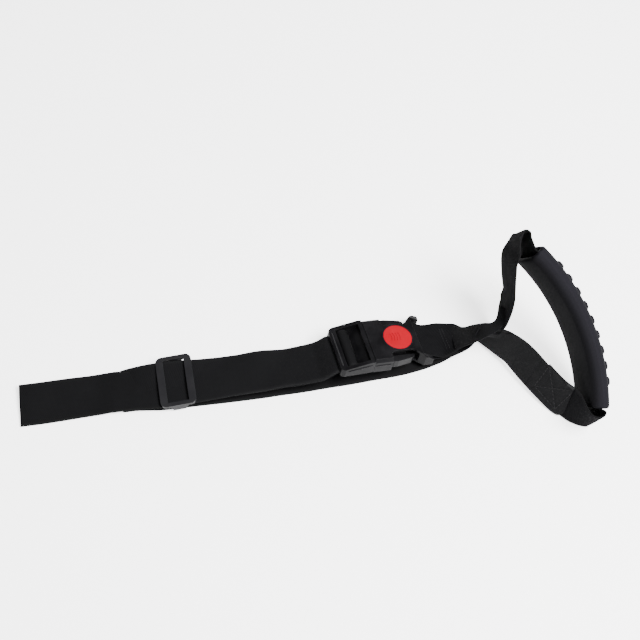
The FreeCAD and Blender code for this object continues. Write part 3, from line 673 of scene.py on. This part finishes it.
sealEnd("sealedEnd", backRows[0])
boxMesh = bmesh.new()
box = sewing["box"]
for start, end in sewing["seams"]:
    sew(boxMesh, backStrap, box[start], box[end])
tackMesh = bmesh.new()
for start, end in sewing["tacks"]:
    sew(tackMesh, handleStrap, start, end)
for name, mesh in (("boxStitches", boxMesh), ("tackStitches", tackMesh)):
    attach(finishPiece(name, mesh, "thread"), "root")
print("sewing done")


# the grip: a rounded bar on an arc, hollow for the webbing, with lips round its mouths and ridges on its back
gripShape = {
    "bottom": (0.1448, -0.0960, 0.0235),
    "along": (-37.3, 112.2, 74.0),
    "across": (0.15, -0.50, 0.85),
    "shift": (0.0846, 0.0360, 0.0),
    "radius": 0.170,
    "chord": 0.139,
    "halfThick": 0.00775,
    "halfWidth": 0.0210,
    "corner": 0.0062,
    "lip": 0.0026,
    "crown": 0.0005,       # how far the flat sides bulge
    "mouth": (0.0046, 0.0204, 0.0022),     # half thickness, half width and corner of the opening
    "throat": (0.0030, 0.0200, 0.0014),
    "slot": (0.0016, 0.0198, 0.0008),
    "mouthDepth": 0.009,
    "mouthEdge": 0.0012,
    "rows": 64,
    "ridges": 9,
    "ridgePitch": 0.0125,
    "ridgeRadius": 0.0033,
    "ridgeProud": 0.0025,
    "ridgeHalfWidth": 0.0039,
    "ridgeHalfLength": 0.0172,
    "ridgeSquareness": 0.72,      # 1 is an oval section, less is squarer
    "ridgeSides": 20,
}


def gripFrame():
    along = Vector(gripShape["along"]).normalized()
    across = Vector(gripShape["across"])
    across = (across - along * across.dot(along)).normalized()
    out = along.cross(across).normalized()
    half = gripShape["chord"] / 2
    centre = (Vector(gripShape["bottom"]) + Vector(gripShape["shift"]) + along * half
              - out * math.sqrt(gripShape["radius"] ** 2 - half ** 2))
    turn = Matrix((out, along, across)).transposed().to_4x4()
    return Matrix.Translation(centre) @ turn


def onGrip(gripPlace, angle, radial, across):
    reach = gripShape["radius"] + radial
    return gripPlace @ Vector((reach * math.cos(angle), reach * math.sin(angle), across))


def roundedOutline(halfThick, halfWidth, corner, crown=0.0):
    # points of a rounded rectangle, always the same number and order
    signs = ((1, 1), (-1, 1), (-1, -1), (1, -1))
    points = []
    for quarter, (signThick, signWide) in enumerate(signs):
        for step in range(7):
            turn = math.radians(90 * quarter + 15 * step)
            points.append((signThick * (halfThick - corner) + corner * math.cos(turn),
                           signWide * (halfWidth - corner) + corner * math.sin(turn)))
        thick, wide = points[-1]
        nextThick, nextWide = signs[(quarter + 1) % 4]
        outThick, outWide = math.cos(turn), math.sin(turn)
        goalThick = nextThick * (halfThick - corner) + corner * outThick
        goalWide = nextWide * (halfWidth - corner) + corner * outWide
        for step in (1, 2, 3, 4):
            share = step / 5
            bulge = crown * math.sin(math.pi * share)
            points.append((thick + (goalThick - thick) * share + bulge * outThick,
                           wide + (goalWide - wide) * share + bulge * outWide))
    return points


def makeGrip():
    gripPlace = gripFrame()
    halfAngle = math.asin(gripShape["chord"] / 2 / gripShape["radius"])
    thick, wide, corner = gripShape["halfThick"], gripShape["halfWidth"], gripShape["corner"]
    lip, crown = gripShape["lip"], gripShape["crown"]
    slot = roundedOutline(*gripShape["slot"])
    sections = [           # (distance from the end, outline), from inside the mouth outwards
        (gripShape["mouthDepth"], slot),
        (gripShape["mouthDepth"] * 0.45, roundedOutline(*gripShape["throat"])),
        (gripShape["mouthEdge"], roundedOutline(*gripShape["mouth"])),
    ]
    for step in range(6, -1, -1):
        turn = math.radians(15 * step)
        inset = lip * (1 - math.cos(turn))
        sections.append((lip * (1 - math.sin(turn)),
                         roundedOutline(thick - inset, wide - inset, corner - inset * 0.8, crown)))
    mesh = bmesh.new()
    concaveShade = mesh.verts.layers.float.new("concaveShade")
    rings = []

    def addRing(angle, points):
        ring = []
        for radial, across in points:
            corner = mesh.verts.new(onGrip(gripPlace, angle, radial, across))
            # painted shade: full weight on the concave inner face, none from the middle of the section outwards
            corner[concaveShade] = min(1.0, max(0.0, -0.2 - 1.4 * radial / thick))
            ring.append(corner)
        rings.append(ring)

    for distance, points in sections:
        addRing(-halfAngle + distance / gripShape["radius"], points)
    body = roundedOutline(thick, wide, corner, crown)
    inner = halfAngle - 2 * lip / gripShape["radius"]
    for step in range(gripShape["rows"] + 1):
        addRing(-inner + 2 * inner * step / gripShape["rows"], body)
    for distance, points in sections[::-1]:
        addRing(halfAngle - distance / gripShape["radius"], points)
    depth = gripShape["mouthDepth"] / gripShape["radius"]
    for step in range(13, 0, -1):
        addRing((-1 + 2 * step / 14) * (halfAngle - depth), slot)
    skin(mesh, rings + rings[:1], capped=False)
    bmesh.ops.recalc_face_normals(mesh, faces=mesh.faces)
    return finishPiece("moulded_grip", mesh, "rubber")


def makeRidges():
    gripPlace = gripFrame()
    radius, half = gripShape["ridgeRadius"], gripShape["ridgeHalfLength"]
    middle = gripShape["halfThick"] + gripShape["ridgeProud"] - radius
    mesh = bmesh.new()
    for number in range(gripShape["ridges"]):
        angle = (number - (gripShape["ridges"] - 1) / 2) * gripShape["ridgePitch"] / gripShape["radius"]
        rings = []
        for step in range(-9, 10):
            across = half * math.sin(math.radians(10 * step))
            beyond = max(0.0, abs(across) - (half - radius)) / radius
            swell = radius * math.sqrt(max(0.02, 1 - beyond ** 2))
            ring = []
            for side in range(gripShape["ridgeSides"]):
                turn = 2 * math.pi * side / gripShape["ridgeSides"]
                flat, up = (math.copysign(abs(part) ** gripShape["ridgeSquareness"], part) * swell
                            for part in (math.cos(turn), math.sin(turn)))
                flat *= gripShape["ridgeHalfWidth"] / radius
                ring.append(mesh.verts.new(onGrip(gripPlace, angle + flat / gripShape["radius"], middle + up, across)))
            rings.append(ring)
        skin(mesh, rings)
    bmesh.ops.recalc_face_normals(mesh, faces=mesh.faces)
    return finishPiece("grip_ridges", mesh, "rubber")


gripBar = makeGrip()
gripRidges = makeRidges()
for piece in (gripBar, gripRidges):
    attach(piece, "root")
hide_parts("grip")
print("grip moulded")


# the buckle's small forms, in the buckle's own lean
buckleShape = {
    "place": (0.0829, 0.0311, 0.0232),
    "lean": (5.5, 12.5, -6.6),             # yaw, pitch and roll in degrees
    "capTop": 0.0003,
    "ridgeCentres": (-0.0128, -0.0103, -0.0078, -0.0053),
    "ridgeCurve": 0.0078,
    "ridgeAside": 0.0006,
    "ridgeSweep": 32.0,
    "ridgeThick": 0.00042,
    "ramp": ((-0.0300, -0.0042), (-0.0300, -0.0138), (-0.0378, -0.0144), (-0.0374, -0.0126)),
    "rampHalf": 0.0196,
    "rampRounding": 0.0005,
    "wellRadius": 0.01305,
    "wellThick": 0.0005,
    "wellLifts": (-0.00005, -0.00095, -0.00185),
    "lineThick": 0.00045,
    "crestThick": 0.0005,
    "lines": {  # ribs along the moulded sides: body: (start, end), for the near side
        "male": ((-0.0500, -0.0231, -0.0095), (-0.0285, -0.0231, -0.0048)),
        "root": ((-0.0255, -0.0231, -0.0062), (-0.0112, -0.0231, -0.0062)),
    },
    "spring": {"radius": 0.0038, "wire": 0.0004, "turns": 5.0, "low": -0.0119, "high": -0.0021, "travel": 0.0025},
    "crest": ((-0.0530, -0.0180, -0.0074), (-0.0530, 0.0180, -0.0074)),    # a tube along the end bar's top edge, in a lighter, glossier plastic: a painted highlight line
}


def buckleFrame():
    yaw, pitch, roll = (math.radians(angle) for angle in buckleShape["lean"])
    turn = Matrix.Rotation(yaw, 4, "Z") @ Matrix.Rotation(pitch, 4, "Y") @ Matrix.Rotation(roll, 4, "X")
    return Matrix.Translation(Vector(buckleShape["place"])) @ turn


def makeButtonRidges():
    place = buckleFrame()
    mesh = bmesh.new()
    for centre in buckleShape["ridgeCentres"]:
        points = []
        for step in range(-6, 7):
            turn = math.radians(buckleShape["ridgeSweep"]) * step / 6
            points.append(place @ Vector((centre + buckleShape["ridgeCurve"] * math.cos(turn),
                                          buckleShape["ridgeCurve"] * math.sin(turn) + buckleShape["ridgeAside"],
                                          buckleShape["capTop"])))
        thick = buckleShape["ridgeThick"]
        addTube(mesh, points, [thick * 0.5] + [thick] * 11 + [thick * 0.5], 10)
    return finishPiece("button_ridges", mesh, "button")


def makeRamp():
    # a dark sloping plate between the window and the plug, added as painted shade: it keeps the floor from showing
    # through the window
    place = buckleFrame()
    mesh = bmesh.new()
    sides = []
    for across in (-buckleShape["rampHalf"], buckleShape["rampHalf"]):
        sides.append([mesh.verts.new(place @ Vector((x, across, z))) for x, z in buckleShape["ramp"]])
    mesh.faces.new(sides[0])
    mesh.faces.new(sides[1][::-1])
    for index in range(4):
        following = (index + 1) % 4
        mesh.faces.new((sides[0][index], sides[1][index], sides[1][following], sides[0][following]))
    bmesh.ops.recalc_face_normals(mesh, faces=mesh.faces)
    # painted shade: a dark plate that fills the window
    ramp = finishPiece("window_shade_plate", mesh, "buckle", smooth=False)
    rounding = ramp.modifiers.new("rounding", "BEVEL")
    rounding.width = buckleShape["rampRounding"]
    rounding.segments = 3
    return ramp


def makeWell():
    # the dark gap round the button: rings down the hole's wall, so that no light comes past the cap
    place = buckleFrame()
    mesh = bmesh.new()
    radius = buckleShape["wellRadius"]
    turns = [2 * math.pi * step / 72 for step in range(72)]
    for lift in buckleShape["wellLifts"]:
        points = [place @ Vector((radius * math.cos(turn), radius * math.sin(turn), lift)) for turn in turns]
        addTube(mesh, points, [buckleShape["wellThick"]] * len(turns), 16, closed=True)
    return finishPiece("button_well", mesh, "rubber")


def makeSideLine(body, start, end):
    place = buckleFrame()
    mesh = bmesh.new()
    for side in (1, -1):
        ends = [place @ Vector((x, y * side, z)) for x, y, z in (start, end)]
        points = [ends[0].lerp(ends[1], step / 6) for step in range(7)]
        thick = buckleShape["lineThick"]
        addTube(mesh, points, [thick * 0.4] + [thick] * 5 + [thick * 0.4], 10)
    return finishPiece("side_line_" + body, mesh, "buckle")


def makeCrest():
    # painted highlight: a thin, lighter tube laid along the end bar's top edge
    place = buckleFrame()
    mesh = bmesh.new()
    start, end = (place @ Vector(point) for point in buckleShape["crest"])
    points = [start.lerp(end, step / 12) for step in range(13)]
    thick = buckleShape["crestThick"]
    addTube(mesh, points, [thick * 0.2] + [thick] * 11 + [thick * 0.2], 12)
    return finishPiece("end_bar_highlight_line", mesh, "crest")


def makeSpring():
    # the coil under the button: closed turns at both ends, open turns between
    place = buckleFrame()
    spring = buckleShape["spring"]
    steps = round(spring["turns"] * 24)
    points = []
    for step in range(steps + 1):
        share = step / steps
        rise = share * share * (3 - 2 * share)
        turn = 2 * math.pi * spring["turns"] * share
        points.append(place @ Vector((spring["radius"] * math.cos(turn), spring["radius"] * math.sin(turn),
                                      spring["low"] + (spring["high"] - spring["low"]) * rise)))
    mesh = bmesh.new()
    addTube(mesh, points, [spring["wire"]] * len(points), 10)
    return finishPiece("coil_spring", mesh, "steel")


coil = makeSpring()
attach(coil, "root")
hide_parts("button_spring")
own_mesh(coil)
crest = makeCrest()
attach(crest, "male")
well = makeWell()
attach(well, "root")
for body, (start, end) in buckleShape["lines"].items():
    sideLine = makeSideLine(body, start, end)
    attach(sideLine, body)
buttonRidges = makeButtonRidges()
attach(buttonRidges, "button")
windowShadePlate = makeRamp()
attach(windowShadePlate, "male")

# the other moulded pieces keep the frame's shape
for nodeName, look in {
    "female_housing": "buckle",
    "male_half": "buckle",
    "latch_arm_left": "buckle",
    "latch_arm_right": "buckle",
    "release_button": "button",
    "slider": "slider",
}.items():
    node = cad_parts[nodeName]
    for slot in node.material_slots:
        slot.material = looks[look]
print("straps and mouldings dressed")

# floor, light and camera
floorMesh = bmesh.new()
bmesh.ops.create_grid(floorMesh, x_segments=2, y_segments=2, size=studio["floorSize"] / 2)
floor = finishPiece("floor", floorMesh, "floor", smooth=False)
floor.location = (0.0, 0.0, min(0.0, cadBox[0][2]) - studio["floorGap"])
makeLamps()
makeCamera()
print("stage set")
